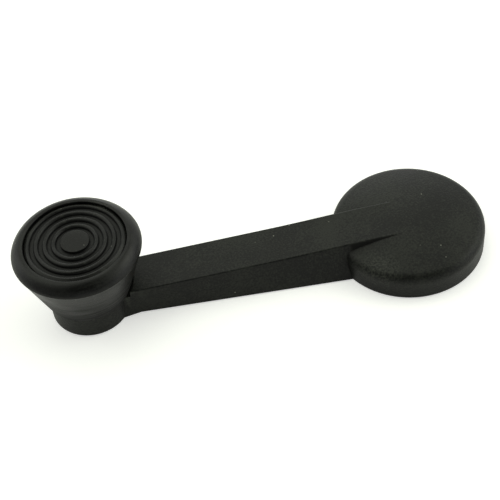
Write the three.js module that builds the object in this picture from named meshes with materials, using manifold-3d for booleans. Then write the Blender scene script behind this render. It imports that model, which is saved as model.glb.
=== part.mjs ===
// Car window winder handle: a moulded crank with a domed hub over the regulator's spindle and a
// free-turning knob on a shouldered steel pin. Lengths are in millimetres. Heights are measured from
// the back plane, which lies against the door trim; X runs from the spindle's axis to the knob's axis.
import * as THREE from 'three';
import { mergeVertices } from 'three/addons/utils/BufferGeometryUtils.js';
import Module from 'manifold-3d';

const wasm = await Module();
wasm.setup();

// Driving sizes of the whole handle
const throwLength = 106.4; // from the spindle's axis to the knob's axis
const wall = 2.4; // moulded wall of the handle
const ribThickness = 1.4;
const ribSetback = 0.8; // the ribs stop this far short of the back plane
const coreEdgeRadius = 0.4; // inner corners of the cored-out back
const seatGap = 0.3; // between pieces that are pressed, riveted or laid together
const runningGap = 0.2; // around what turns
const overrun = 1; // how far a cutter passes the surface that it cuts
const weldDistance = 0.0001; // corners closer than this are one corner

// Hub: the domed disc over the spindle
const hubRadius = 25;
const hubEdgeRadius = 2.7;
const crownHeight = 11.8; // the dome's middle above the back plane
const crownRadius = 131; // the dome's sphere
const postRadius = 9.6; // the round post that holds the splined insert
const postSetback = 0.6;
const hubRibCount = 12;

// Arm: a flat top of even width over sides that flare out towards the hub
const armRootHeight = 11.6; // of the top's plane at the spindle's axis, just under the crown
const armTipHeight = 10.5; // at the knob's axis
const armTopWidth = 14.3;
const armRootWidth = 27.2; // across the back at the spindle's axis
const armTipWidth = 12.9; // across the back at the knob's axis
const armEdgeRadius = 0.8;
const armRibPitch = 12.5;

// Knob boss: the round foot that carries the knob's pin
const bossRadius = 12.8;
const bossHeight = 8.7;
const bossEdgeRadius = 0.5;
const flareReach = 15.4; // from the knob's axis to where the arm's sides turn out to the boss
const flareWidth = 19.7; // across the back at the knob's axis, inside the boss
const bossPostRadius = 8.6;
const bossRimThickness = 2.2;
const bossRibCount = 6;
const recessRadius = 6.4; // around the riveted end of the pin
const recessDepth = 3.4;

// Splined insert and its spring clip
const socketDepth = 8; // from the back plane to the floor that stops the spindle
const insertFlats = 13.6; // across the flats of its hexagon
const insertFloor = 1.2;
const splineOuterRadius = 5;
const splineInnerRadius = 4.5;
const splineCount = 20;
const leadInRadius = 5.6;
const leadInDepth = 0.7;
const clipHeight = 2.6; // the clip's lower face above the back plane
const clipThickness = 1;
const clipWidth = 1.2;
const clipLegSpacing = 8.4; // between the legs, where they grip the spindle's groove
const clipBowRadius = 5.8; // middle of the strip
const clipBowReach = 11.2; // from the spindle's axis to the bow's centre
const clipLegReach = 9.4; // from the spindle's axis to where the tips bend out
const clipTipLength = 2.4;
const clipTipAngle = 0.45; // radians

// Pin, washers and bush on the knob's axis
const tailRadius = 2.2; // the thin end that goes through the boss
const rivetRadius = 3.6;
const rivetHeight = 1.1;
const rivetWasherRadius = 5.6;
const rivetWasherThickness = 1;
const shankRadius = 3.2;
const thrustWasherRadius = 7.6;
const thrustWasherThickness = 0.8;
const bushWall = 1;
const bushFlangeRadius = 6;
const bushFlangeThickness = 1;
const waveWasherRadius = 5.2;
const waveWasherThickness = 0.4;
const waveHeight = 0.3; // from the middle of the wave to its crest
const waveCount = 3;
const pinHeadRadius = 5.4;
const pinHeadThickness = 1.5;
const pinHeadChamfer = 0.4;
const pinHeadroom = 3.2; // under the cap, for the riveting tool

// Knob: a flared skirt under a broad rounded rim, with a ringed cap pressed into its face
const knobLift = 0.4; // the skirt's lower edge above the boss
const skirtBottomRadius = 13.8;
const skirtTopRadius = 20.2;
const skirtTop = 28.3;
const rimLipRadius = 20.4; // widest part of the knob
const rimLipHeight = 28.7;
const rimCrestHeight = 32.1;
const rimCrestSetback = 0.85; // from the rim's inner edge out to its crest
const rimFullness = 1.3; // 2 makes the rim's outer face an ellipse, 1 a straight slope
const rimInnerDrop = 0.4; // from the crest to the edge above the cap's recess
const knobWall = 1.8;
const knobTubeRadius = 6.8; // outside of the tube around the bush
const knobRibCount = 6;
const pocketRadius = 8.4; // around the pin's head

// Ringed cap
const faceDrop = 0.3; // from the rim's crest to the tops of the rings
const capPlate = 1.2; // under the grooves
const ringHeight = 0.8;
const ringWidth = 1.6;
const ringPitch = 2.73;
const ringCount = 4;
const firstRingRadius = 6.7; // middle of the smallest ring
const capMargin = 0.16; // around the largest ring
const buttonRadius = 4.5; // flat disc in the middle
const buttonChamfer = 0.25;
const spigotThickness = 1.4;
const spigotLength = 2;

// Facets
const hubFacets = 64;
const knobFacets = 48;
const smallFacets = 24;
const edgeSteps = 4;
const crownSteps = 5;
const ringSteps = 4;
const rimSteps = 6;
const armSteps = 7;
const flareSteps = 2;
const bossEdgeSteps = 2;
const armCornerSteps = 3;
const bowSteps = 14;
const waveSteps = 36;

// Places that follow from the sizes
const insertTop = socketDepth + insertFloor;
const slotBottom = clipHeight - seatGap;
const slotTop = clipHeight + clipThickness + seatGap;
const knobBottom = bossHeight + knobLift;
const faceHeight = rimCrestHeight - faceDrop;
const capFloor = faceHeight - ringHeight;
const capBottom = capFloor - capPlate;
const capSeat = capBottom - seatGap;
const capRadius = firstRingRadius + (ringCount - 1) * ringPitch + ringWidth / 2 + capMargin;
const rimInnerRadius = capRadius + seatGap;
const rimCrestRadius = rimInnerRadius + rimCrestSetback;
const pinHeadTop = capBottom - pinHeadroom;
const pinHeadBottom = pinHeadTop - pinHeadThickness;
const waveMiddle = pinHeadBottom - seatGap - waveWasherThickness / 2 - waveHeight;
const bushTop = waveMiddle - waveHeight - waveWasherThickness / 2 - runningGap;
const thrustWasherBottom = bossHeight + seatGap;
const bushBottom = thrustWasherBottom + thrustWasherThickness + runningGap;
const bushInnerRadius = shankRadius + runningGap;
const bushOuterRadius = bushInnerRadius + bushWall;
const knobTubeBottom = bushBottom + bushFlangeThickness + seatGap;

// Materials
const handlePlastic = new THREE.MeshStandardMaterial({ color: 0x30322e, roughness: 0.62, metalness: 0 });
const knobPlastic = new THREE.MeshStandardMaterial({ color: 0x2c2d2c, roughness: 0.45, metalness: 0 });
const bearingPlastic = new THREE.MeshStandardMaterial({ color: 0xd9d4c4, roughness: 0.4, metalness: 0 });
const platedSteel = new THREE.MeshStandardMaterial({ color: 0xb9b39a, roughness: 0.35, metalness: 1 });
const springSteel = new THREE.MeshStandardMaterial({ color: 0x6d6f72, roughness: 0.4, metalness: 1 });
const insertMetal = new THREE.MeshStandardMaterial({ color: 0x9a9c9c, roughness: 0.5, metalness: 1 });

const point = (x, y) => new THREE.Vector2(x, y);
const share = (step, steps) => step / steps;

// Corners are merged and needle triangles dropped, so that the shape is one closed skin.
// The faces are turned outwards if the outline ran the other way round.
function toSolid(geometry) {
  const bare = new THREE.BufferGeometry();
  bare.setAttribute('position', geometry.getAttribute('position'));
  if (geometry.index) bare.setIndex(geometry.index);
  const merged = mergeVertices(bare, weldDistance);
  const corners = merged.getAttribute('position');
  const source = merged.index.array;
  const triangles = [];
  let volume = 0;
  for (let i = 0; i < source.length; i += 3) {
    const [a, b, c] = source.slice(i, i + 3);
    if (a === b || b === c || c === a) continue;
    triangles.push(a, b, c);
    const [p, q, r] = [a, b, c].map((k) => new THREE.Vector3().fromBufferAttribute(corners, k));
    volume += p.dot(q.cross(r));
  }
  if (volume < 0) triangles.reverse();
  return new wasm.Manifold(new wasm.Mesh({
    numProp: 3,
    vertProperties: new Float32Array(corners.array),
    triVerts: new Uint32Array(triangles),
  }));
}

function toGeometry(solid) {
  const { vertProperties, triVerts } = solid.getMesh();
  const geometry = new THREE.BufferGeometry();
  geometry.setAttribute('position', new THREE.BufferAttribute(vertProperties, 3));
  geometry.setIndex(new THREE.BufferAttribute(triVerts, 1));
  geometry.computeVertexNormals();
  return geometry;
}

// A half section turned about the Z axis.
function revolve(profile, facets) {
  return toSolid(new THREE.LatheGeometry(profile, facets).rotateX(Math.PI / 2));
}

// A ring whose half section closes on itself.
function revolveRing(profile, facets) {
  return revolve([...profile, profile[0]], facets);
}

function disc(radius, bottom, top, facets) {
  return revolve([point(0, bottom), point(radius, bottom), point(radius, top), point(0, top)], facets);
}

function washer(innerRadius, outerRadius, bottom, top) {
  return revolveRing([
    point(innerRadius, bottom), point(outerRadius, bottom), point(outerRadius, top), point(innerRadius, top),
  ], smallFacets);
}

function box(xFrom, xTo, yFrom, yTo, zFrom, zTo) {
  const geometry = new THREE.BoxGeometry(xTo - xFrom, yTo - yFrom, zTo - zFrom);
  return toSolid(geometry.translate((xFrom + xTo) / 2, (yFrom + yTo) / 2, (zFrom + zTo) / 2));
}

function extrude(shape, bottom, top) {
  const geometry = new THREE.ExtrudeGeometry(shape, { depth: top - bottom, bevelEnabled: false });
  return toSolid(geometry.translate(0, 0, bottom));
}

// Points of an arc that starts and ends at the given angles.
function arc(x, y, radius, from, to, steps) {
  const points = [];
  for (let i = 0; i <= steps; i += 1) {
    const angle = from + (to - from) * share(i, steps);
    points.push(point(x + radius * Math.cos(angle), y + radius * Math.sin(angle)));
  }
  return points;
}

// Straight ribs of even length that stand like spokes around the Z axis.
function spokes(count, length, bottom, top) {
  let ribs = null;
  for (let i = 0; i < count; i += 1) {
    const turned = box(0, length, -ribThickness / 2, ribThickness / 2, bottom, top)
      .rotate([0, 0, share(i, count) * 360]);
    ribs = ribs ? ribs.add(turned) : turned;
  }
  return ribs;
}

// The hub's half section: up the side, round the edge and over the crown to the middle.
function domeProfile(radius, edgeRadius, sphereRadius, bottom) {
  const sphereCentre = crownHeight - crownRadius;
  const edgeCentre = radius - edgeRadius;
  const reach = sphereRadius - edgeRadius;
  const edgeCentreHeight = sphereCentre + Math.sqrt(reach ** 2 - edgeCentre ** 2);
  const crownAngle = Math.acos(edgeCentre / reach);
  return [
    point(0, bottom),
    point(radius, bottom),
    ...arc(edgeCentre, edgeCentreHeight, edgeRadius, 0, crownAngle, edgeSteps),
    ...arc(0, sphereCentre, sphereRadius, crownAngle, Math.PI / 2, crownSteps).slice(1, -1),
    point(0, sphereCentre + sphereRadius),
  ];
}

function armHeightAt(x) {
  return armRootHeight + (armTipHeight - armRootHeight) * (x / throwLength);
}

function armBackWidthAt(x) {
  return armRootWidth + (armTipWidth - armRootWidth) * (x / throwLength);
}

// Close to the boss the back spreads out, while the top keeps its width.
function flareBackWidthAt(x) {
  const start = throwLength - flareReach;
  return armBackWidthAt(start) + (flareWidth - armBackWidthAt(start)) * ((x - start) / flareReach);
}

// One cross section of the arm, set in by the given depth, as (y, z) points from the back right corner.
function armSection(x, backWidth, inset, edgeRadius, bottom) {
  const height = armHeightAt(x);
  const lean = Math.atan((backWidth - armTopWidth) / 2 / height);
  const top = height - inset;
  const halfWidthAt = (z) => backWidth / 2 - z * Math.tan(lean) - inset / Math.cos(lean);
  const edgeCentre = halfWidthAt(top) - edgeRadius * (1 - Math.sin(lean)) / Math.cos(lean);
  const right = [
    point(halfWidthAt(bottom), bottom),
    ...arc(edgeCentre, top - edgeRadius, edgeRadius, lean, Math.PI / 2, armCornerSteps),
  ];
  return [...right, ...right.map((p) => point(-p.x, p.y)).reverse()];
}

// A body through cross sections at even stations along X, closed by a fan at each end.
function armBody(from, to, steps, backWidthAt, inset, edgeRadius, bottom) {
  const positions = [];
  const triangles = [];
  let size = 0;
  for (let i = 0; i <= steps; i += 1) {
    const x = from + (to - from) * share(i, steps);
    const section = armSection(x, backWidthAt(x), inset, edgeRadius, bottom);
    size = section.length;
    for (const p of section) positions.push(x, p.x, p.y);
  }
  for (let i = 0; i < steps; i += 1) {
    for (let j = 0; j < size; j += 1) {
      const a = i * size + j;
      const b = i * size + (j + 1) % size;
      triangles.push(a, b, b + size, a, b + size, a + size);
    }
  }
  const last = steps * size;
  for (let j = 1; j < size - 1; j += 1) {
    triangles.push(0, j + 1, j, last, last + j, last + j + 1);
  }
  const geometry = new THREE.BufferGeometry();
  geometry.setAttribute('position', new THREE.Float32BufferAttribute(positions, 3));
  geometry.setIndex(triangles);
  return toSolid(geometry);
}

// The skirt of the turning knob passes the arm's end here.
function skirtRadiusAt(height) {
  const slope = (skirtTopRadius - skirtBottomRadius) / (skirtTop - knobBottom);
  return skirtBottomRadius + (height - knobBottom) * slope;
}

const scallopRadius = skirtRadiusAt(crownHeight) + seatGap;

function knobBoss() {
  const profile = [
    point(0, 0),
    point(bossRadius - bossEdgeRadius, 0),
    ...arc(bossRadius - bossEdgeRadius, bossEdgeRadius, bossEdgeRadius, -Math.PI / 2, 0, bossEdgeSteps),
    point(bossRadius, bossHeight),
    point(0, bossHeight),
  ];
  return revolve(profile, knobFacets).translate([throwLength, 0, 0]);
}

// Where the clip's legs cross the post and the insert.
function clipSlots() {
  const inner = clipLegSpacing / 2 - seatGap;
  const outer = clipLegSpacing / 2 + clipWidth + seatGap;
  const end = postRadius + overrun;
  return box(-end, end, inner, outer, slotBottom, slotTop).add(box(-end, end, -outer, -inner, slotBottom, slotTop));
}

function hexagon(flats, bottom, top) {
  return disc(flats / 2 / Math.cos(Math.PI / 6), bottom, top, 6);
}

// The ribs are relieved around the clip, so that it can be pushed in and hooked out.
function hubCore() {
  const cavity = revolve(
    domeProfile(hubRadius - wall, coreEdgeRadius, crownRadius - wall, -overrun), hubFacets,
  );
  const bowEnd = clipBowReach + clipBowRadius + clipWidth + seatGap;
  const tipEnd = clipLegReach + clipTipLength + clipWidth;
  const halfWidth = clipBowRadius + clipWidth + seatGap;
  const relief = box(-bowEnd, tipEnd, -halfWidth, halfWidth, -overrun, slotTop);
  const ribs = spokes(hubRibCount, hubRadius, ribSetback, crownHeight).subtract(relief);
  const post = disc(postRadius, postSetback, crownHeight, smallFacets);
  return cavity.subtract(ribs).subtract(post);
}

// The arm's core runs on under the scallop, as far as the boss.
function armCore() {
  const end = scallopRadius + wall;
  const from = hubRadius;
  const to = throwLength - end;
  const bays = Math.round((to - from) / armRibPitch);
  const knobEnd = disc(end, bossHeight - wall, crownHeight + overrun, knobFacets)
    .add(disc(bossRadius, -overrun, bossHeight, knobFacets))
    .translate([throwLength, 0, 0]);
  let core = armBody(0, throwLength, armSteps, armBackWidthAt, wall, coreEdgeRadius, -overrun)
    .subtract(disc(hubRadius, -overrun, crownHeight + overrun, hubFacets))
    .subtract(knobEnd)
    .subtract(box(0, throwLength, -ribThickness / 2, ribThickness / 2, ribSetback, crownHeight));
  for (let i = 1; i < bays; i += 1) {
    const x = from + (to - from) * share(i, bays);
    core = core.subtract(box(
      x - ribThickness / 2, x + ribThickness / 2, -armRootWidth, armRootWidth, ribSetback, crownHeight,
    ));
  }
  return core;
}

function bossCore() {
  const ring = washer(bossPostRadius, bossRadius - bossRimThickness, -overrun, bossHeight - wall)
    .subtract(spokes(bossRibCount, bossRadius, ribSetback, bossHeight));
  const recess = disc(recessRadius, -overrun, recessDepth, smallFacets);
  const pinHole = disc(tailRadius + seatGap, 0, bossHeight + overrun, smallFacets);
  return ring.add(recess).add(pinHole).translate([throwLength, 0, 0]);
}

function handleBody() {
  const hub = revolve(domeProfile(hubRadius, hubEdgeRadius, crownRadius, 0), hubFacets);
  const flareStart = throwLength - flareReach;
  const scallop = disc(scallopRadius, bossHeight, crownHeight + overrun, knobFacets)
    .translate([throwLength, 0, 0]);
  const insertPocket = hexagon(insertFlats + 2 * seatGap, -overrun, insertTop + seatGap);
  return hub
    .add(armBody(0, flareStart, armSteps, armBackWidthAt, 0, armEdgeRadius, 0))
    .add(armBody(flareStart, throwLength, flareSteps, flareBackWidthAt, 0, armEdgeRadius, 0))
    .add(knobBoss())
    .subtract(scallop)
    .subtract(hubCore())
    .subtract(armCore())
    .subtract(bossCore())
    .subtract(insertPocket)
    .subtract(clipSlots());
}

// A blind hexagonal insert with a serrated socket and a cone that leads the spindle in.
function splineInsert() {
  const teeth = [];
  for (let i = 0; i < 2 * splineCount; i += 1) {
    const radius = i % 2 ? splineInnerRadius : splineOuterRadius;
    const angle = share(i, splineCount) * Math.PI;
    teeth.push(point(radius * Math.cos(angle), radius * Math.sin(angle)));
  }
  const leadIn = revolve([
    point(0, postSetback - overrun),
    point(leadInRadius, postSetback - overrun),
    point(leadInRadius, postSetback),
    point(splineInnerRadius, postSetback + leadInDepth),
    point(0, postSetback + leadInDepth),
  ], smallFacets);
  return hexagon(insertFlats, postSetback, insertTop)
    .subtract(extrude(new THREE.Shape(teeth), -overrun, socketDepth))
    .subtract(leadIn)
    .subtract(clipSlots());
}

// A strip of even width along a path, as an outline.
function stripShape(path, width) {
  const sides = [[], []];
  path.forEach((here, i) => {
    const before = here.clone().sub(path[Math.max(i - 1, 0)]).normalize();
    const after = path[Math.min(i + 1, path.length - 1)].clone().sub(here).normalize();
    const along = before.add(after).normalize();
    const turn = i > 0 && i < path.length - 1 ? Math.abs(along.dot(after)) : 1;
    const step = width / 2 / turn;
    sides[0].push(point(here.x + along.y * step, here.y - along.x * step));
    sides[1].push(point(here.x - along.y * step, here.y + along.x * step));
  });
  return new THREE.Shape([...sides[0], ...sides[1].reverse()]);
}

// A horseshoe of spring strip: a bow wider than its legs, and tips bent out to lead them in.
function retainingClip() {
  const legY = (clipLegSpacing + clipWidth) / 2;
  const bowAngle = Math.asin(legY / clipBowRadius);
  const bow = arc(-clipBowReach, 0, clipBowRadius, bowAngle, 2 * Math.PI - bowAngle, bowSteps);
  const tipX = clipLegReach + clipTipLength * Math.cos(clipTipAngle);
  const tipY = legY + clipTipLength * Math.sin(clipTipAngle);
  const path = [
    point(tipX, tipY), point(clipLegReach, legY), ...bow, point(clipLegReach, -legY), point(tipX, -tipY),
  ];
  return extrude(stripShape(path, clipWidth), clipHeight, clipHeight + clipThickness);
}

// A shouldered pin: riveted end in the boss's recess, bearing shank and a flat head.
function knobPin() {
  const rivetTop = recessDepth - seatGap - rivetWasherThickness - seatGap;
  const rivetBottom = rivetTop - rivetHeight;
  return revolve([
    point(0, rivetBottom),
    point(tailRadius, rivetBottom),
    point(rivetRadius, rivetBottom + rivetHeight / 2),
    point(rivetRadius, rivetTop),
    point(tailRadius, rivetTop),
    point(tailRadius, thrustWasherBottom),
    point(shankRadius, thrustWasherBottom),
    point(shankRadius, pinHeadBottom),
    point(pinHeadRadius, pinHeadBottom),
    point(pinHeadRadius, pinHeadTop - pinHeadChamfer),
    point(pinHeadRadius - pinHeadChamfer, pinHeadTop),
    point(0, pinHeadTop),
  ], smallFacets);
}

function rivetWasher() {
  const top = recessDepth - seatGap;
  return washer(tailRadius + seatGap, rivetWasherRadius, top - rivetWasherThickness, top);
}

function thrustWasher() {
  const top = thrustWasherBottom + thrustWasherThickness;
  return washer(shankRadius + seatGap, thrustWasherRadius, thrustWasherBottom, top);
}

function knobBush() {
  return revolveRing([
    point(bushInnerRadius, bushBottom),
    point(bushFlangeRadius, bushBottom),
    point(bushFlangeRadius, bushBottom + bushFlangeThickness),
    point(bushOuterRadius, bushBottom + bushFlangeThickness),
    point(bushOuterRadius, bushTop),
    point(bushInnerRadius, bushTop),
  ], smallFacets);
}

// A thin ring that rises and falls around its circle.
function waveWasher() {
  const positions = [];
  const triangles = [];
  for (let i = 0; i < waveSteps; i += 1) {
    const angle = share(i, waveSteps) * 2 * Math.PI;
    const middle = waveMiddle + waveHeight * Math.cos(waveCount * angle);
    for (const [radius, side] of [
      [shankRadius + seatGap, -1], [waveWasherRadius, -1], [waveWasherRadius, 1], [shankRadius + seatGap, 1],
    ]) {
      const height = middle + side * waveWasherThickness / 2;
      positions.push(radius * Math.cos(angle), radius * Math.sin(angle), height);
    }
    for (let j = 0; j < 4; j += 1) {
      const a = i * 4 + j;
      const b = i * 4 + (j + 1) % 4;
      const next = ((i + 1) % waveSteps - i) * 4;
      triangles.push(a, b, b + next, a, b + next, a + next);
    }
  }
  const geometry = new THREE.BufferGeometry();
  geometry.setAttribute('position', new THREE.Float32BufferAttribute(positions, 3));
  geometry.setIndex(triangles);
  return toSolid(geometry);
}

// The rim's outer face is a flattened quarter of an ellipse from its widest part up to its crest.
function rimPoints() {
  const points = [];
  for (let i = 0; i <= rimSteps; i += 1) {
    const angle = share(i, rimSteps) * Math.PI / 2;
    const out = Math.max(Math.cos(angle), 0) ** (2 / rimFullness);
    const up = Math.sin(angle) ** (2 / rimFullness);
    points.push(point(
      rimCrestRadius + (rimLipRadius - rimCrestRadius) * out,
      rimLipHeight + (rimCrestHeight - rimLipHeight) * up,
    ));
  }
  return points;
}

// Skirt, rim, recess for the cap, pocket for the pin's head and tube for the bush, cored from below.
function knobBody() {
  const boreRadius = bushOuterRadius + seatGap;
  const pocketWallRadius = pocketRadius + knobWall;
  const skin = revolveRing([
    point(boreRadius, knobBottom),
    point(skirtBottomRadius, knobBottom),
    point(skirtTopRadius, skirtTop),
    ...rimPoints(),
    point(rimInnerRadius, rimCrestHeight - rimInnerDrop),
    point(rimInnerRadius, capSeat),
    point(pocketRadius, capSeat),
    point(pocketRadius, bushTop),
    point(boreRadius, bushTop),
  ], knobFacets);
  const coreTop = capSeat - knobWall;
  const core = revolveRing([
    point(0, knobBottom - overrun),
    point(skirtRadiusAt(knobBottom - overrun) - knobWall, knobBottom - overrun),
    point(skirtRadiusAt(coreTop) - knobWall, coreTop),
    point(pocketWallRadius, coreTop),
    point(pocketWallRadius, bushTop - knobWall),
    point(knobTubeRadius, bushTop - knobWall),
    point(knobTubeRadius, knobTubeBottom),
    point(0, knobTubeBottom),
  ], knobFacets);
  const ribs = spokes(knobRibCount, skirtTopRadius, knobTubeBottom, capSeat);
  return skin.subtract(core.subtract(ribs));
}

// Half-round rings stand on the cap's floor around a flat button.
function knobCap() {
  const rings = [];
  for (let i = ringCount - 1; i >= 0; i -= 1) {
    const middle = firstRingRadius + i * ringPitch;
    for (const p of arc(0, 0, 1, 0, Math.PI, ringSteps)) {
      rings.push(point(middle + p.x * ringWidth / 2, capFloor + p.y * ringHeight));
    }
  }
  const spigotRadius = pocketRadius - seatGap;
  return revolve([
    point(0, capBottom),
    point(spigotRadius - spigotThickness, capBottom),
    point(spigotRadius - spigotThickness, capBottom - spigotLength),
    point(spigotRadius, capBottom - spigotLength),
    point(spigotRadius, capBottom),
    point(capRadius, capBottom),
    point(capRadius, capFloor),
    ...rings,
    point(buttonRadius, capFloor),
    point(buttonRadius, faceHeight - buttonChamfer),
    point(buttonRadius - buttonChamfer, faceHeight),
    point(0, faceHeight),
  ], knobFacets);
}

function addPiece(parent, name, solid, material) {
  const mesh = new THREE.Mesh(toGeometry(solid), material);
  mesh.name = name;
  parent.add(mesh);
}

// The frame's origin is the middle of the floor that stops the spindle.
const handle = new THREE.Group();
handle.position.z = -socketDepth;
const knobAxis = new THREE.Group();
knobAxis.position.x = throwLength;
handle.add(knobAxis);

addPiece(handle, 'handle_body', handleBody(), handlePlastic);
addPiece(handle, 'spline_insert', splineInsert(), insertMetal);
addPiece(handle, 'retaining_clip', retainingClip(), springSteel);
addPiece(knobAxis, 'knob_pin', knobPin(), platedSteel);
addPiece(knobAxis, 'rivet_washer', rivetWasher(), platedSteel);
addPiece(knobAxis, 'thrust_washer', thrustWasher(), bearingPlastic);
addPiece(knobAxis, 'wave_washer', waveWasher(), springSteel);
addPiece(knobAxis, 'knob_bush', knobBush(), bearingPlastic);
addPiece(knobAxis, 'knob_body', knobBody(), knobPlastic);
addPiece(knobAxis, 'knob_cap', knobCap(), knobPlastic);

export default handle;
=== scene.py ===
# Car window winder handle: fine pieces, materials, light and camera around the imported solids.
# Shapes are drawn in millimetres with heights from the back plane, and settle() puts them in place.
import bpy
import bmesh
import math
from mathutils import Matrix, Vector


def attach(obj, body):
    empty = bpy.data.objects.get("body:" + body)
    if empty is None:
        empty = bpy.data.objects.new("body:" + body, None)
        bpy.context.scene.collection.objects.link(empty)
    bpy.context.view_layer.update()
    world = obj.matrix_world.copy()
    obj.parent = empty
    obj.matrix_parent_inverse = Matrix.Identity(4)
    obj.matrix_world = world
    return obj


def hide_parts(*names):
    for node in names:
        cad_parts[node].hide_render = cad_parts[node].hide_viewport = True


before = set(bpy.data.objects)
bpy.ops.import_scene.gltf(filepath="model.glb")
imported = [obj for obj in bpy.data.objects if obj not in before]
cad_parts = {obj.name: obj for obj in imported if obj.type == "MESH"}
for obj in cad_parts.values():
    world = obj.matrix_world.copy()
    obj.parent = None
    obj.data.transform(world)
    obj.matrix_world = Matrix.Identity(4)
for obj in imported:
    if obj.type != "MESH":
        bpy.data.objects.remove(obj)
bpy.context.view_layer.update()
print("frame loaded:", len(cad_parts), "nodes")

mm = 0.001
backPlane = -8.0  # mm, where the back lies below the floor of the splined socket
throwLength = 106.4  # mm, from the spindle's axis to the knob's axis
firmAngle = 32  # degrees, edges sharper than this stay firm


# Colours are picked as sRGB hex and shaders want them linear
def linearColour(hexCode):
    parts = [int(hexCode[i:i + 2], 16) / 255 for i in (1, 3, 5)]
    return [c / 12.92 if c <= 0.04045 else ((c + 0.055) / 1.055) ** 2.4 for c in parts] + [1.0]


def addNode(tree, kind, settings=None, links=None):
    node = tree.nodes.new(kind)
    for key, value in (settings or {}).items():
        if isinstance(key, int) or key in node.inputs:
            node.inputs[key].default_value = value
        else:
            setattr(node, key, value)
    for key, source in (links or {}).items():
        tree.links.new(source, node.inputs[key])
    return node


def selectOnly(piece):
    bpy.ops.object.select_all(action="DESELECT")
    piece.select_set(True)
    bpy.context.view_layer.objects.active = piece


# Points of a rounded corner, as (radius, height), between two angles in degrees
def roundPoints(x, z, radius, start, end, steps):
    turns = [math.radians(start + (end - start) * i / steps) for i in range(steps + 1)]
    return [(x + radius * math.cos(t), z + radius * math.sin(t)) for t in turns]


# A half section drawn point by point and spun round an upright axis
def turnedShape(name, points, axisX=0.0, steps=96):
    bpy.ops.object.select_all(action="DESELECT")
    first = points[0]
    bpy.ops.mesh.primitive_plane_add(size=0.01, location=(axisX + first[0], 0, first[1]))
    piece = bpy.context.object
    piece.name = name
    bpy.ops.object.transform_apply(location=True, rotation=True, scale=True)
    bpy.ops.object.mode_set(mode="EDIT")
    bpy.ops.mesh.select_mode(type="VERT")
    bpy.ops.mesh.select_all(action="SELECT")
    bpy.ops.mesh.merge(type="CENTER")
    for here, there in zip(points, points[1:]):
        step = (there[0] - here[0], 0, there[1] - here[1])
        bpy.ops.mesh.extrude_region_move(TRANSFORM_OT_translate={"value": step})
    bpy.ops.mesh.select_all(action="SELECT")
    bpy.ops.mesh.spin(steps=steps, angle=math.tau, center=(axisX, 0, 0), axis=(0, 0, 1))
    bpy.ops.mesh.select_all(action="SELECT")
    bpy.ops.mesh.remove_doubles(threshold=0.002)
    bpy.ops.mesh.normals_make_consistent(inside=False)
    bpy.ops.object.mode_set(mode="OBJECT")
    return piece


def blockShape(name, low, high):
    bpy.ops.object.select_all(action="DESELECT")
    middle = [(a + b) / 2 for a, b in zip(low, high)]
    size = [b - a for a, b in zip(low, high)]
    bpy.ops.mesh.primitive_cube_add(size=1, location=middle, scale=size)
    piece = bpy.context.object
    piece.name = name
    bpy.ops.object.transform_apply(location=True, rotation=True, scale=True)
    return piece


def prismShape(name, radius, bottom, top, corners, axisX=0.0):
    bpy.ops.object.select_all(action="DESELECT")
    bpy.ops.mesh.primitive_cylinder_add(vertices=corners, radius=radius, depth=top - bottom,
                                        location=(axisX, 0, (bottom + top) / 2))
    piece = bpy.context.object
    piece.name = name
    bpy.ops.object.transform_apply(location=True, rotation=True, scale=True)
    return piece


# Adds or cuts one shape and throws the tool away
def combine(piece, tool, operation):
    selectOnly(piece)
    cut = piece.modifiers.new(operation.lower(), "BOOLEAN")
    cut.operation = operation
    cut.solver = "EXACT"
    cut.object = tool
    bpy.ops.object.modifier_apply(modifier=cut.name)
    bpy.data.objects.remove(tool)


def pickCorners(piece, test):
    mesh = bmesh.from_edit_mesh(piece.data)
    bpy.ops.mesh.select_all(action="DESELECT")
    for corner in mesh.verts:
        corner.select = test(corner.co)
    mesh.select_flush_mode()
    mesh.select_flush(True)
    bmesh.update_edit_mesh(piece.data)


def pickEdges(piece, test):
    mesh = bmesh.from_edit_mesh(piece.data)
    bpy.ops.mesh.select_all(action="DESELECT")
    bpy.ops.mesh.select_mode(type="EDGE")
    for edge in mesh.edges:
        edge.select = test(edge.verts[0].co, edge.verts[1].co)
    bmesh.update_edit_mesh(piece.data)


# Cuts leave near-double corners and slivers, which go before the next cut trips over them
def mend(piece):
    sliver = 0.003  # mm
    selectOnly(piece)
    bpy.ops.object.mode_set(mode="EDIT")
    bpy.ops.mesh.select_mode(type="VERT")
    bpy.ops.mesh.select_all(action="SELECT")
    bpy.ops.mesh.remove_doubles(threshold=sliver)
    bpy.ops.mesh.dissolve_degenerate(threshold=sliver)
    bpy.ops.mesh.select_all(action="SELECT")
    bpy.ops.mesh.fill_holes(sides=12)
    bpy.ops.mesh.select_all(action="SELECT")
    bpy.ops.mesh.normals_make_consistent(inside=False)
    bpy.ops.object.mode_set(mode="OBJECT")


# Real size in the frame, smooth shading with firm edges, a finish and the body that carries the piece
def settle(piece, body, material, stands):
    mend(piece)
    piece.data.transform(Matrix.Scale(mm, 4) @ Matrix.Translation((0, 0, backPlane)))
    selectOnly(piece)
    bpy.ops.object.shade_smooth_by_angle(angle=math.radians(firmAngle))
    flatten = piece.modifiers.new("weighted", "WEIGHTED_NORMAL")
    flatten.keep_sharp = True
    bpy.ops.object.modifier_apply(modifier=flatten.name)
    piece.data.materials.clear()
    piece.data.materials.append(material)
    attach(piece, body)
    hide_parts(stands)


print("tools ready")


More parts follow.
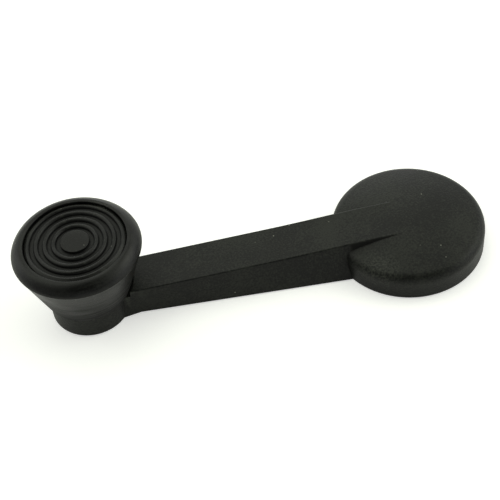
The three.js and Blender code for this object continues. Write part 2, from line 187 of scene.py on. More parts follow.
# Plastics: colours, grain, wear, painted shade and painted highlights
# Black moulded ABS: satin, a fine spark-eroded grain, slightly greyed by painted highlights
handleLook = {
    "dark": "#030403",
    "light": "#1e201b",
    # The next tone is a painted highlight, on edges and on one spot
    "paintedHighlight": "#4a4d45",
    "dust": "#74756c",
    # The next tone paints dirt and shade together, in hollows and shaded places
    "dirtAndShade": "#050504",
    "dirtAndShadeReach": 4.0,  # mm, how far into a hollow it starts
    "dirtAndShadeRange": (0.9, 0.45),  # open share where it starts and where it is thickest
    "specular": 0.24,
    "roughness": (0.32, 0.48),
    "grainSize": 0.62,  # mm, real grain is 0.1 mm, too fine to show
    "grainDepth": 0.16,  # mm
    "patchSize": 17,  # mm, from hands and sun
    "speckPitch": 3.2,  # mm
    "streak": 0.0,
    "highlightSpot": (15.5, 18.5, 2.6),  # mm, middle of the painted highlight on the hub's edge
    "highlightReach": 8.5,
    "edgeHighlight": 0.7,
    "crease": 23.2,  # mm from the hub's axis, the arm's upright flanks inside it get painted shade
    "foot": None,
}

# Black moulded nylon of the knob: a little shinier, with painted highlights on its edges and face
knobLook = {
    "dark": "#040404",
    "light": "#191a18",
    # The next tone is a painted highlight, on edges and on one spot
    "paintedHighlight": "#4c4e48",
    "dust": "#74756e",
    # The next tone paints dirt and shade together, in hollows and shaded places
    "dirtAndShade": "#040404",
    "dirtAndShadeReach": 1.7,
    "dirtAndShadeRange": (0.93, 0.56),
    "specular": 0.26,
    "roughness": (0.26, 0.4),
    "grainSize": 0.4,  # mm, drawn coarser than the real 0.1 mm, as above
    "grainDepth": 0.07,
    "patchSize": 9,
    "speckPitch": 2.6,
    "streak": 0.6,  # fine lines left round the skirt by turning the mould
    # Painted glints on the rings and rim round this spot
    "highlightSpot": (96.5, -12.5, 23.8),
    "highlightReach": 6.0,
    "edgeHighlight": 0.35,
    "crease": None,
    "foot": (16.0, 0.0),  # mm, painted shade on the skirt grows between these heights
}

# How wear, dirt, painted shade and painted highlights show on all the plastics
wearAndPaintedLight = {
    "streakScale": (90.0, 90.0, 1500.0),  # per metre, long round the skirt and fine up it
    "grainShare": 1.2,  # weight of the grain beside the patches
    "toneRange": (1.0, 1.3),  # noise levels of the dark and the light tone
    "speckEdges": (0.085, 0.05),  # of a cell
    "speckShare": 0.8,  # cells above this level hold a speck
    "highlightedEdges": (0.515, 0.56),  # pointiness, from no painted highlight to the full one
    "highlightStrength": 1.3,
    "highlightedTops": (0.4, 0.75),  # grain levels
    "topsStrength": 0.6,
    "footStrength": 2.8,
    "shelterReach": 12,  # mm
    "shelterRange": (1.0, 0.3),  # open share
    "shelterShade": (0.7, 1.8),
    "flankRange": (0.85, 0.65),  # upright share of the surface's direction
    "sheenRange": (0.3, 0.7),  # noise levels of the least and the most roughness
    "dirtAndShadeDulls": 0.35,
    "reliefStrength": 0.6,
}


def mouldedPlastic(name, look):
    material = bpy.data.materials.new(name)
    material.use_nodes = True
    tree = material.node_tree
    tree.nodes.clear()
    place = addNode(tree, "ShaderNodeTexCoord").outputs["Object"]
    grain = addNode(tree, "ShaderNodeTexNoise", {"Scale": 1000 / look["grainSize"], "Detail": 3.0, "Roughness": 0.6},
                    {"Vector": place})
    patch = addNode(tree, "ShaderNodeTexNoise", {"Scale": 1000 / look["patchSize"], "Detail": 4.0, "Roughness": 0.55},
                    {"Vector": place})
    lines = addNode(tree, "ShaderNodeMapping", {"Scale": wearAndPaintedLight["streakScale"]}, {"Vector": place})
    streaks = addNode(tree, "ShaderNodeTexNoise", {"Scale": 1.0, "Detail": 3.0}, {"Vector": lines.outputs["Vector"]})
    drawn = addNode(tree, "ShaderNodeMath", {"operation": "MULTIPLY_ADD", 1: look["streak"], 2: -look["streak"] / 2},
                    {0: streaks.outputs["Fac"]})
    shade = addNode(tree, "ShaderNodeMath", {"operation": "ADD"}, {0: patch.outputs["Fac"], 1: drawn.outputs[0]})
    mottle = addNode(tree, "ShaderNodeMath", {"operation": "MULTIPLY_ADD", 1: wearAndPaintedLight["grainShare"]},
                     {0: grain.outputs["Fac"], 2: shade.outputs[0]})
    low, high = wearAndPaintedLight["toneRange"]
    tone = addNode(tree, "ShaderNodeMapRange", {"From Min": low, "From Max": high}, {"Value": mottle.outputs[0]})
    dark, light = linearColour(look["dark"]), linearColour(look["light"])
    base = addNode(tree, "ShaderNodeMix", {"data_type": "RGBA", 6: dark, 7: light}, {0: tone.outputs["Result"]})

    # Tiny specks of dust, in about one cell of five
    cells = addNode(tree, "ShaderNodeTexVoronoi", {"Scale": 1000 / look["speckPitch"]}, {"Vector": place})
    outer, inner = wearAndPaintedLight["speckEdges"]
    near = addNode(tree, "ShaderNodeMapRange", {"From Min": outer, "From Max": inner},
                   {"Value": cells.outputs["Distance"]})
    pick = addNode(tree, "ShaderNodeSeparateColor", {}, {"Color": cells.outputs["Color"]})
    few = addNode(tree, "ShaderNodeMath", {"operation": "GREATER_THAN", 1: wearAndPaintedLight["speckShare"]},
                  {0: pick.outputs["Red"]})
    speck = addNode(tree, "ShaderNodeMath", {"operation": "MULTIPLY"}, {0: near.outputs["Result"], 1: few.outputs[0]})

    # Convex edges are painted paler: a painted highlight along them
    shape = addNode(tree, "ShaderNodeNewGeometry")
    low, high = wearAndPaintedLight["highlightedEdges"]
    edge = addNode(tree, "ShaderNodeMapRange", {"From Min": low, "From Max": high, "To Max": look["edgeHighlight"]},
                   {"Value": shape.outputs["Pointiness"]})
    edgeLit = addNode(tree, "ShaderNodeMath", {"operation": "MULTIPLY"},
                     {0: edge.outputs["Result"], 1: grain.outputs["Fac"]})
    edged = addNode(tree, "ShaderNodeMix", {"data_type": "RGBA", 7: linearColour(look["paintedHighlight"])},
                    {0: edgeLit.outputs[0], 6: base.outputs[2]})
    colour = addNode(tree, "ShaderNodeMix", {"data_type": "RGBA", 7: linearColour(look["dust"])},
                     {0: speck.outputs[0], 6: edged.outputs[2]})

    # Round one spot the grain's tops are painted grey: a painted highlight
    middle = [c * mm for c in look["highlightSpot"]]
    gap = addNode(tree, "ShaderNodeVectorMath", {"operation": "DISTANCE", 1: middle}, {0: place})
    reach = addNode(tree, "ShaderNodeMapRange", {
        "From Min": look["highlightReach"] * mm, "From Max": 0.0, "To Max": wearAndPaintedLight["highlightStrength"]},
        {"Value": gap.outputs["Value"]})
    low, high = wearAndPaintedLight["highlightedTops"]
    tops = addNode(tree, "ShaderNodeMapRange", {"From Min": low, "From Max": high, "To Max": wearAndPaintedLight["topsStrength"]},
                   {"Value": grain.outputs["Fac"]})
    greyed = addNode(tree, "ShaderNodeMath", {"operation": "MULTIPLY"},
                     {0: reach.outputs["Result"], 1: tops.outputs["Result"]})
    colour = addNode(tree, "ShaderNodeMix", {"data_type": "RGBA", 7: linearColour(look["paintedHighlight"])},
                     {0: greyed.outputs[0], 6: colour.outputs[2]})

    # Hollows are painted darker and duller: partly dirt, partly painted shade where less light reaches
    hollow = addNode(tree, "ShaderNodeAmbientOcclusion", {
        "samples": 6, "only_local": True, "Distance": look["dirtAndShadeReach"] * mm})
    openShare, thick = look["dirtAndShadeRange"]
    dirtAndShade = addNode(tree, "ShaderNodeMapRange", {"From Min": openShare, "From Max": thick},
                   {"Value": hollow.outputs["AO"]}).outputs["Result"]
    # Painted shade on the knob's skirt, darker towards the bottom and broken up by the streaks
    if look["foot"]:
        height = addNode(tree, "ShaderNodeSeparateXYZ", {}, {"Vector": place})
        low, high = (h * mm for h in look["foot"])
        rising = addNode(tree, "ShaderNodeMapRange", {
            "From Min": low, "From Max": high, "To Max": wearAndPaintedLight["footStrength"]}, {"Value": height.outputs["Z"]})
        uneven = addNode(tree, "ShaderNodeMath", {"operation": "MULTIPLY"},
                         {0: rising.outputs["Result"], 1: streaks.outputs["Fac"]})
        # Painted shade, thicker on the side that the arm and boss shade
        around = addNode(tree, "ShaderNodeAmbientOcclusion", {"samples": 6, "Distance": wearAndPaintedLight["shelterReach"] * mm})
        openShare, hidden = wearAndPaintedLight["shelterRange"]
        thin, thick = wearAndPaintedLight["shelterShade"]
        shelter = addNode(tree, "ShaderNodeMapRange", {
            "From Min": openShare, "From Max": hidden, "To Min": thin, "To Max": thick},
            {"Value": around.outputs["AO"]})
        skirtShade = addNode(tree, "ShaderNodeMath", {"operation": "MULTIPLY"},
                       {0: uneven.outputs[0], 1: shelter.outputs["Result"]})
        both = addNode(tree, "ShaderNodeMath", {"operation": "ADD", "use_clamp": True},
                       {0: dirtAndShade, 1: skirtShade.outputs[0]})
        dirtAndShade = both.outputs[0]
    # Painted shade on the arm's upright flanks near the hub, where the dome keeps light off them
    if look["crease"]:
        flat = addNode(tree, "ShaderNodeVectorMath", {"operation": "MULTIPLY", 1: (1, 1, 0)}, {0: place})
        away = addNode(tree, "ShaderNodeVectorMath", {"operation": "LENGTH"}, {0: flat.outputs["Vector"]})
        within = addNode(tree, "ShaderNodeMapRange", {
            "From Min": look["crease"] * mm, "From Max": (look["crease"] - 1) * mm}, {"Value": away.outputs["Value"]})
        normal = addNode(tree, "ShaderNodeTexCoord").outputs["Normal"]
        facing = addNode(tree, "ShaderNodeSeparateXYZ", {}, {"Vector": normal})
        upright, leaning = wearAndPaintedLight["flankRange"]
        flank = addNode(tree, "ShaderNodeMapRange", {"From Min": upright, "From Max": leaning},
                        {"Value": facing.outputs["Z"]})
        creaseShade = addNode(tree, "ShaderNodeMath", {"operation": "MULTIPLY"},
                        {0: within.outputs["Result"], 1: flank.outputs["Result"]})
        either = addNode(tree, "ShaderNodeMath", {"operation": "MAXIMUM"}, {0: dirtAndShade, 1: creaseShade.outputs[0]})
        dirtAndShade = either.outputs[0]
    # One dark tone for both dirt and painted shade
    soiled = addNode(tree, "ShaderNodeMix", {"data_type": "RGBA", 7: linearColour(look["dirtAndShade"])},
                     {0: dirtAndShade, 6: colour.outputs[2]})

    low, high = wearAndPaintedLight["sheenRange"]
    smooth, rough = look["roughness"]
    sheen = addNode(tree, "ShaderNodeMapRange", {
        "From Min": low, "From Max": high, "To Min": smooth, "To Max": rough}, {"Value": shade.outputs[0]})
    gloss = addNode(tree, "ShaderNodeMath", {"operation": "MULTIPLY_ADD", 1: wearAndPaintedLight["dirtAndShadeDulls"], "use_clamp": True},
                    {0: dirtAndShade, 2: sheen.outputs["Result"]})
    relief = addNode(tree, "ShaderNodeBump", {"Strength": wearAndPaintedLight["reliefStrength"], "Distance": look["grainDepth"] * mm},
                     {"Height": grain.outputs["Fac"]})
    surface = addNode(tree, "ShaderNodeBsdfPrincipled", {"IOR": 1.5, "Specular IOR Level": look["specular"]}, {
        "Base Color": soiled.outputs[2], "Roughness": gloss.outputs[0], "Normal": relief.outputs["Normal"]})
    addNode(tree, "ShaderNodeOutputMaterial", {}, {"Surface": surface.outputs["BSDF"]})
    return material


handlePlastic = mouldedPlastic("moulded ABS", handleLook)
knobPlastic = mouldedPlastic("moulded nylon", knobLook)
print("materials ready")

# The handle: domed hub, tapering arm and round boss in one moulding, cored out and ribbed behind
handleSizes = {
    "wall": 2.4,
    "ribThickness": 1.4,
    "ribSetback": 0.8,
    "hubRadius": 25.0,
    "hubEdge": 3.4,
    "hubFootEdge": 0.35,
    "hubRibs": 12,
    "hubCoreEdge": 0.6,
    "crownHeight": 12.3,
    "crownRadius": 97.0,
    "armRise": 0.55,  # the arm's top lifts a little as it runs on to the crown
    "riseStart": 44,  # mm from the hub's axis
    "riseRun": 30,
    "riseFade": 0.4,  # share of the lift lost again by the hub's axis
    "fadeReach": 8,
    "armRootHeight": 11.6,
    "armTipHeight": 10.5,
    "armTopWidth": 14.3,
    "armRootWidth": 27.2,
    "armTipWidth": 12.9,
    "armEdge": 0.4,
    "armFootEdge": 0.35,
    "armCoreEdge": 0.35,
    "armRibPitch": 12.5,
    "flareReach": 15.4,
    "flareWidth": 19.7,
    "bossRadius": 12.8,
    "bossHeight": 8.7,
    "bossFootEdge": 0.5,
    "bossTopEdge": 0.3,
    "bossTopRow": 7.4,  # height of the last row of faces on its wall
    "bossWall": 2.2,
    "bossRibs": 6,
    "postRadius": 9.6,
    "postFoot": 0.6,
    "postEdge": 0.4,
    "bossPostRadius": 8.6,
    "scallopRadius": 14.85,
    "scallopLip": 0.5,
    "pinRadius": 2.5,
    "rivetRecess": (6.4, 3.4),  # radius and depth
    "insertPocket": (7.1, 9.5),  # half the width across its flats, and depth
    "clipRelief": ((-18.5, -7.3, -1), (13, 7.3, 3.92)),
    "clipSlots": {"reach": 10.6, "inner": 3.9, "outer": 5.7, "bottom": 2.3, "top": 3.9},
}
wallRings = [1.5, 3, 4.5, 6]  # mm, rows of faces up the outer walls
below, above = -1, 14  # mm, cutters reach past the back and the crown


def domePoints(radius, edgeRadius, sphereRadius, sizes, bottomEdge, bottom):
    centre = sizes["crownHeight"] - sizes["crownRadius"]
    reach = sphereRadius - edgeRadius
    inner = radius - edgeRadius
    rise = centre + math.sqrt(reach ** 2 - inner ** 2)
    lean = math.degrees(math.acos(inner / reach))
    foot = [(0, bottom), (radius - bottomEdge, bottom)]
    if bottomEdge:
        foot += roundPoints(radius - bottomEdge, bottom + bottomEdge, bottomEdge, -90, 0, 4)[1:]
    foot += [(radius, height) for height in wallRings if height < rise]
    edge = roundPoints(inner, rise, edgeRadius, 0, lean, 12)
    crown = roundPoints(0, centre, sphereRadius, lean, 90, 26)[1:]
    return foot + edge + crown


def armHeight(sizes, x):
    return sizes["armRootHeight"] + (sizes["armTipHeight"] - sizes["armRootHeight"]) * x / throwLength


def armWidth(sizes, x):
    return sizes["armRootWidth"] + (sizes["armTipWidth"] - sizes["armRootWidth"]) * x / throwLength


# Half width of the arm at a height, set in by some depth
def armHalf(sizes, x, width, height, inset):
    lean = math.atan((width - sizes["armTopWidth"]) / 2 / armHeight(sizes, x))
    return width / 2 - height * math.tan(lean) - inset / math.cos(lean)


# A block whose eight corners are pulled to the arm's section at both ends, then cut across into short bays
def armShape(name, sizes, start, end, startWidth, endWidth, inset, bottom, edge, bays):
    rough = 5  # mm, half width of the block before its corners are pulled
    top = armHeight(sizes, start) - inset
    piece = blockShape(name, (start, -rough, bottom), (end, rough, top))
    bpy.ops.object.mode_set(mode="EDIT")
    bpy.ops.mesh.select_mode(type="VERT")
    for x, width in ((start, startWidth), (end, endWidth)):
        for height, old in ((bottom, bottom), (armHeight(sizes, x) - inset, top)):
            half = armHalf(sizes, x, width, height, inset)
            for side in (-1, 1):
                pickCorners(piece, lambda c: abs(c.x - x) < 0.001 and abs(c.z - old) < 0.001 and c.y * side > 0)
                bpy.ops.transform.translate(value=(0, side * (half - rough), height - old))
    pickEdges(piece, lambda a, b: abs(a.x - b.x) > 1 and min(a.z, b.z) > 3)
    bpy.ops.mesh.bevel(offset=edge, segments=6, profile=0.5)
    if not inset:
        pickEdges(piece, lambda a, b: abs(a.x - b.x) > 1 and max(a.z, b.z) < 0.1 and abs(a.y) > 3)
        bpy.ops.mesh.bevel(offset=sizes["armFootEdge"], segments=3, profile=0.5)
    for i in range(1, bays):
        bpy.ops.mesh.select_all(action="SELECT")
        bpy.ops.mesh.bisect(plane_co=(start + (end - start) * i / bays, 0, 0), plane_no=(1, 0, 0))
    if not inset:
        liftTop(piece, sizes)
    bpy.ops.mesh.select_all(action="SELECT")
    bpy.ops.mesh.quads_convert_to_tris()  # the sides are twisted, and cuts want flat faces
    bpy.ops.object.mode_set(mode="OBJECT")
    return piece


# Raises the arm's top in a gentle curve towards the crown
def liftTop(piece, sizes):
    topBand = 0.6  # mm, what lies this close below the top lifts with it
    mesh = bmesh.from_edit_mesh(piece.data)
    for corner in mesh.verts:
        share = min(1, max(0, (sizes["riseStart"] - corner.co.x) / sizes["riseRun"]))
        eased = 3 * share ** 2 - 2 * share ** 3
        fade = 1 - sizes["riseFade"] * max(0, 1 - corner.co.x / sizes["fadeReach"])
        if corner.co.z > armHeight(sizes, corner.co.x) - topBand:
            corner.co.z += sizes["armRise"] * eased * fade
    bmesh.update_edit_mesh(piece.data)


def ribSet(name, count, length, bottom, top, thickness, axisX=0.0):
    freeEdge = 0.28  # mm, rounding of the edge that shows
    ribs = []
    for i in range(count // 2):
        rib = blockShape(name + "." + str(i), (-length, -thickness / 2, bottom), (length, thickness / 2, top))
        bpy.ops.object.mode_set(mode="EDIT")
        pickEdges(rib, lambda a, b: abs(a.x - b.x) > 1 and max(a.z, b.z) < bottom + 0.01)
        bpy.ops.mesh.bevel(offset=freeEdge, segments=3, profile=0.5)
        bpy.ops.object.mode_set(mode="OBJECT")
        rib.data.transform(Matrix.Translation((axisX, 0, 0)) @ Matrix.Rotation(math.tau * i / count, 4, "Z"))
        ribs.append(rib)
    whole = ribs[0]
    for rib in ribs[1:]:
        combine(whole, rib, "UNION")
    return whole


def shapeOutside(sizes):
    body = turnedShape("handleMoulding", domePoints(
        sizes["hubRadius"], sizes["hubEdge"], sizes["crownRadius"], sizes, sizes["hubFootEdge"], 0), steps=160)
    floorGap = 0.03  # mm, the arm stands this much clear of the back plane
    flareStart = throwLength - sizes["flareReach"]
    startWidth = armWidth(sizes, flareStart)
    arm = armShape("arm", sizes, 0, flareStart, sizes["armRootWidth"], startWidth,
                   0, floorGap, sizes["armEdge"], bays=24)
    flare = armShape("flare", sizes, flareStart, throwLength, startWidth, sizes["flareWidth"],
                     0, floorGap, sizes["armEdge"], bays=5)
    combine(arm, flare, "UNION")
    mend(arm)
    combine(body, arm, "UNION")
    mend(body)

    radius, height = sizes["bossRadius"], sizes["bossHeight"]
    edge, topEdge = sizes["bossFootEdge"], sizes["bossTopEdge"]
    section = [(0, 0)] + roundPoints(radius - edge, edge, edge, -90, 0, 5)
    section += [(radius, row) for row in wallRings + [sizes["bossTopRow"]]]
    section += roundPoints(radius - topEdge, height - topEdge, topEdge, 0, 90, 3) + [(0, height)]
    combine(body, turnedShape("boss", section, throwLength, steps=112), "UNION")
    mend(body)

    # The scallop around the skirt leaves the arm's end with a rounded edge
    lip, reach = sizes["scallopLip"], sizes["scallopRadius"]
    armEnd = armHeight(sizes, throwLength - reach - lip)
    floor = height - 0.02
    section = [(0, floor), (reach, floor)] + roundPoints(reach + lip, armEnd + 0.02 - lip, lip, 180, 90, 8)
    section += [(reach + lip + 1, armEnd + 0.1), (reach + lip + 1, above), (0, above)]
    combine(body, turnedShape("scallop", section, throwLength, steps=144), "DIFFERENCE")
    mend(body)
    print("  outside of the handle shaped")
    return body


def coreHub(body, sizes):
    wall = sizes["wall"]
    core = turnedShape("hub core", domePoints(
        sizes["hubRadius"] - wall, sizes["hubCoreEdge"], sizes["crownRadius"] - wall, sizes, 0, below))
    ribs = ribSet("hub ribs", sizes["hubRibs"], sizes["hubRadius"] + 2, sizes["ribSetback"], above,
                  sizes["ribThickness"])
    combine(ribs, blockShape("clip relief", *sizes["clipRelief"]), "DIFFERENCE")
    combine(core, ribs, "DIFFERENCE")
    radius, foot, edge = sizes["postRadius"], sizes["postFoot"], sizes["postEdge"]
    section = [(0, foot)] + roundPoints(radius - edge, foot + edge, edge, -90, 0, 4) + [(radius, above), (0, above)]
    combine(core, turnedShape("post", section), "DIFFERENCE")
    combine(body, core, "DIFFERENCE")
    mend(body)


def coreArm(body, sizes):
    wall, setback, half = sizes["wall"], sizes["ribSetback"], sizes["ribThickness"] / 2
    bossEnd = sizes["scallopRadius"] + wall
    channel = armShape("arm core", sizes, 0, throwLength, sizes["armRootWidth"], sizes["armTipWidth"],
                       wall, below, sizes["armCoreEdge"], bays=8)
    clearances = (("hub clearance", sizes["hubRadius"], below - 1, 0),
                  ("scallop clearance", bossEnd, sizes["bossHeight"] - wall, throwLength),
                  ("boss clearance", sizes["bossRadius"], below - 1, throwLength))
    for name, radius, bottom, axisX in clearances:
        combine(channel, prismShape(name, radius, bottom, above + 1, 96, axisX), "DIFFERENCE")
    combine(channel, blockShape("middle rib", (-2, -half, setback), (throwLength, half, above)), "DIFFERENCE")
    length = throwLength - bossEnd - sizes["hubRadius"]
    bays = round(length / sizes["armRibPitch"])
    for i in range(1, bays):
        x = sizes["hubRadius"] + length * i / bays
        combine(channel, blockShape("cross rib", (x - half, -14, setback), (x + half, 14, above)), "DIFFERENCE")
    combine(body, channel, "DIFFERENCE")
    mend(body)


def coreBoss(body, sizes):
    ring = prismShape("boss core", sizes["bossRadius"] - sizes["bossWall"], below,
                      sizes["bossHeight"] - sizes["wall"], 96, throwLength)
    combine(ring, prismShape("boss post", sizes["bossPostRadius"], below - 1, above, 96, throwLength), "DIFFERENCE")
    ribs = ribSet("boss ribs", sizes["bossRibs"], sizes["bossRadius"] + 2, sizes["ribSetback"], above,
                  sizes["ribThickness"], throwLength)
    combine(ring, ribs, "DIFFERENCE")
    combine(body, ring, "DIFFERENCE")
    mend(body)
    # The pin's hole opens into the recess for the rivet's washer
    pin, (recess, depth) = sizes["pinRadius"], sizes["rivetRecess"]
    section = [(0, below), (recess, below), (recess, depth), (pin, depth), (pin, above), (0, above)]
    combine(body, turnedShape("pin hole", section, throwLength, steps=70), "DIFFERENCE")
    mend(body)


def cutSocket(body, sizes):
    flats, depth = sizes["insertPocket"]
    corner = flats / math.cos(math.pi / 6)
    combine(body, prismShape("insert pocket", corner, below, depth, corners=6), "DIFFERENCE")
    slot = sizes["clipSlots"]
    for side in (-1, 1):
        near, far = sorted((side * slot["inner"], side * slot["outer"]))
        low, high = (-slot["reach"], near, slot["bottom"]), (slot["reach"], far, slot["top"])
        combine(body, blockShape("clip slot", low, high), "DIFFERENCE")
    print("  back of the handle cored")


handle = shapeOutside(handleSizes)
for cutStep in (coreHub, coreArm, coreBoss, cutSocket):
    cutStep(handle, handleSizes)
settle(handle, "handle", handlePlastic, "handle_body")
print("handle done:", len(handle.data.polygons), "faces")

# The knob: flared skirt, broad rolled rim and the tube for its bush
knobSizes = {
    "bottom": 9.1,
    "bottomRing": 12.5,  # radius of a row of corners on the flat bottom
    "skirtBottom": 13.8,
    "skirtEdge": 0.35,
    "skirtTop": 20.2,
    "skirtTopHeight": 28.3,
    "lipStart": [(20.15, 28.2), (20.27, 28.33), (20.36, 28.5)],  # radius and height, where skirt meets rim
    "lipRadius": 20.4,
    "lipHeight": 28.7,
    "crestRadius": 17.0,
    "crestHeight": 32.1,
    "fullness": 1.45,  # 2 is an ellipse, less is flatter
    "innerRadius": 16.15,
    "innerHeight": 32.02,
    "innerEdge": 0.25,
    "capSeat": 29.5,
    "wellRadius": 8.4,
    "wellFloor": 23.6,
    "wellWall": 10.2,  # outer radius
    "wellUnderside": 21.8,
    "boreRadius": 4.7,
    "tubeRadius": 6.8,
    "ribBottom": 11.3,
    "ribThickness": 1.4,
    "ribReach": 19,
    "ribs": 6,
    "wall": 1.8,
}


def buildKnob(sizes):
    bottom = sizes["bottom"]
    slope = (sizes["skirtTop"] - sizes["skirtBottom"]) / (sizes["skirtTopHeight"] - bottom)
    skirtAt = lambda height: sizes["skirtBottom"] + (height - bottom) * slope
    rim = []
    for i in range(25):
        turn = math.pi / 2 * i / 24
        out, up = (max(c, 0) ** (2 / sizes["fullness"]) for c in (math.cos(turn), math.sin(turn)))
        rim.append((sizes["crestRadius"] + (sizes["lipRadius"] - sizes["crestRadius"]) * out,
                    sizes["lipHeight"] + (sizes["crestHeight"] - sizes["lipHeight"]) * up))
    edge, seat, bore = sizes["skirtEdge"], sizes["capSeat"], sizes["boreRadius"]
    inner, innerEdge, well = sizes["innerRadius"], sizes["innerEdge"], sizes["wellRadius"]
    skin = [(bore, bottom), (sizes["bottomRing"], bottom)]
    skin += roundPoints(sizes["skirtBottom"] - edge, bottom + edge, edge, -90, -18, 4)[1:]
    skin += [(skirtAt(height), height) for height in range(12, 30, 2)] + sizes["lipStart"] + rim
    skin += roundPoints(inner + innerEdge, sizes["innerHeight"] - innerEdge, innerEdge, 90, 180, 5)
    skin += [(inner, seat), (well, seat), (well, sizes["wellFloor"]), (bore, sizes["wellFloor"]), (bore, bottom)]
    body = turnedShape("knobMoulding", skin, throwLength, steps=192)

    wall, tube, ribBottom = sizes["wall"], sizes["tubeRadius"], sizes["ribBottom"]
    outer, ceiling = sizes["wellWall"], sizes["wellUnderside"]
    under, coreTop, eye = bottom - 1, seat - wall, 0.5  # the eye keeps the cutter's middle open
    core = turnedShape("knob core", [
        (eye, under), (skirtAt(under) - wall, under), (skirtAt(coreTop) - wall, coreTop), (outer, coreTop),
        (outer, ceiling), (tube, ceiling), (tube, ribBottom), (eye, ribBottom), (eye, under)], throwLength)
    ribs = ribSet("knob ribs", sizes["ribs"], sizes["ribReach"], ribBottom, seat, sizes["ribThickness"], throwLength)
    combine(core, ribs, "DIFFERENCE")
    combine(body, core, "DIFFERENCE")
    return body


knob = buildKnob(knobSizes)
settle(knob, "knob", knobPlastic, "knob_body")
print("knob done:", len(knob.data.polygons), "faces")

# The cap in the rim: four rounded rings on a sunk floor, around a flat button
capSizes = {
    "face": 31.8,
    "ringHeight": 0.95,
    "ringWidth": 1.6,
    "rings": 4,
    "pitch": 2.73,
    "firstRing": 6.7,
    "button": 4.5,
    "buttonEdge": 0.22,
    "buttonFillet": 0.06,
    "radius": 15.85,
    "seamEdge": 31.3,
    "seamRound": 0.2,
    "underside": 29.8,
    "spigot": (6.7, 8.1, 27.8),  # inner and outer radius of the ring behind, and how far back it reaches
}


def buildCap(sizes):
    floor = sizes["face"] - sizes["ringHeight"]
    under, (inner, outer, back) = sizes["underside"], sizes["spigot"]
    points = [(0, under), (inner, under), (inner, back), (outer, back), (outer, under), (sizes["radius"], under)]
    # The outer ring falls away gently to the seam, the others are rounded on both sides
    edge = sizes["seamRound"]
    points += roundPoints(sizes["radius"] - edge, sizes["seamEdge"] - edge, edge, 0, 75, 5)
    last = sizes["rings"] - 1
    for i in range(last, -1, -1):
        middle = sizes["firstRing"] + i * sizes["pitch"]
        for step in range(7 if i == last else 0, 15):
            turn = math.pi * step / 14
            points.append((middle + sizes["ringWidth"] / 2 * math.cos(turn),
                           floor + sizes["ringHeight"] * math.sin(turn)))
    fillet, edge = sizes["buttonFillet"], sizes["buttonEdge"]
    points += [(sizes["button"] + fillet, floor), (sizes["button"], floor + fillet)]
    points += roundPoints(sizes["button"] - edge, sizes["face"] - edge, edge, 0, 90, 5)
    points += [(radius, sizes["face"]) for radius in (3, 1.4, 0)]
    return turnedShape("knobFace", points, throwLength, steps=192)


cap = buildCap(capSizes)
settle(cap, "knob", knobPlastic, "knob_cap")
print("cap done:", len(cap.data.polygons), "faces")

# Inner pieces keep their solids
# Sintered steel is grey and dull, oiled spring steel dark and smoother, zinc plating pale, warm and softly shiny
metals = {
    "insert_metal": ("sintered steel", "#8c8d8b", 0.5),
    "spring_steel": ("oiled spring steel", "#6f7173", 0.38),
    "plated_steel": ("zinc-plated steel", "#b9b6a8", 0.32),
}
metalDetail = {
    "grainSize": 0.5,  # mm, drawn coarser than the real 0.05 mm
    "darkShare": 0.7,
    "roughnessSpread": (0.08, 0.12),  # below and above the metal's own
    "reliefDepth": 0.01,  # mm
}


def grainedMetal(name, colour, roughness):
    material = bpy.data.materials.new(name)
    material.use_nodes = True
    tree = material.node_tree
    tree.nodes.clear()
    place = addNode(tree, "ShaderNodeTexCoord").outputs["Object"]
    grain = addNode(tree, "ShaderNodeTexNoise", {"Scale": 1000 / metalDetail["grainSize"], "Detail": 4.0},
                    {"Vector": place})
    light = linearColour(colour)
    dark = [c * metalDetail["darkShare"] for c in light[:3]] + [1]
    tint = addNode(tree, "ShaderNodeMix", {"data_type": "RGBA", 6: dark, 7: light}, {0: grain.outputs["Fac"]})
    below, above = metalDetail["roughnessSpread"]
    gloss = addNode(tree, "ShaderNodeMapRange", {"To Min": roughness - below, "To Max": roughness + above},
                    {"Value": grain.outputs["Fac"]})
    relief = addNode(tree, "ShaderNodeBump", {"Strength": 0.4, "Distance": metalDetail["reliefDepth"] * mm},
                     {"Height": grain.outputs["Fac"]})
    surface = addNode(tree, "ShaderNodeBsdfPrincipled", {"Metallic": 1.0}, {
        "Base Color": tint.outputs[2], "Roughness": gloss.outputs["Result"], "Normal": relief.outputs["Normal"]})
    addNode(tree, "ShaderNodeOutputMaterial", {}, {"Surface": surface.outputs["BSDF"]})
    return material


finish = {slot: grainedMetal(*look) for slot, look in metals.items()}
# Natural acetal: cream, waxy, with the handle's painted shade and highlights in its own tones
acetalLook = dict(handleLook, dark="#c4bfae", light="#d8d3c4", paintedHighlight="#e2ddd0", dust="#8a8577", dirtAndShade="#7a7261",
                  roughness=(0.3, 0.42))
finish["bearing_plastic"] = mouldedPlastic("natural acetal", acetalLook)
innerPieces = {
    "spline_insert": "insert_metal",
    "retaining_clip": "spring_steel",
    "knob_pin": "plated_steel",
    "rivet_washer": "plated_steel",
    "thrust_washer": "bearing_plastic",
    "wave_washer": "spring_steel",
    "knob_bush": "bearing_plastic",
}
for name, slot in innerPieces.items():
    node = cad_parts[name]
    node.data.materials.clear()
    node.data.materials.append(finish[slot])
print("inner pieces finished")

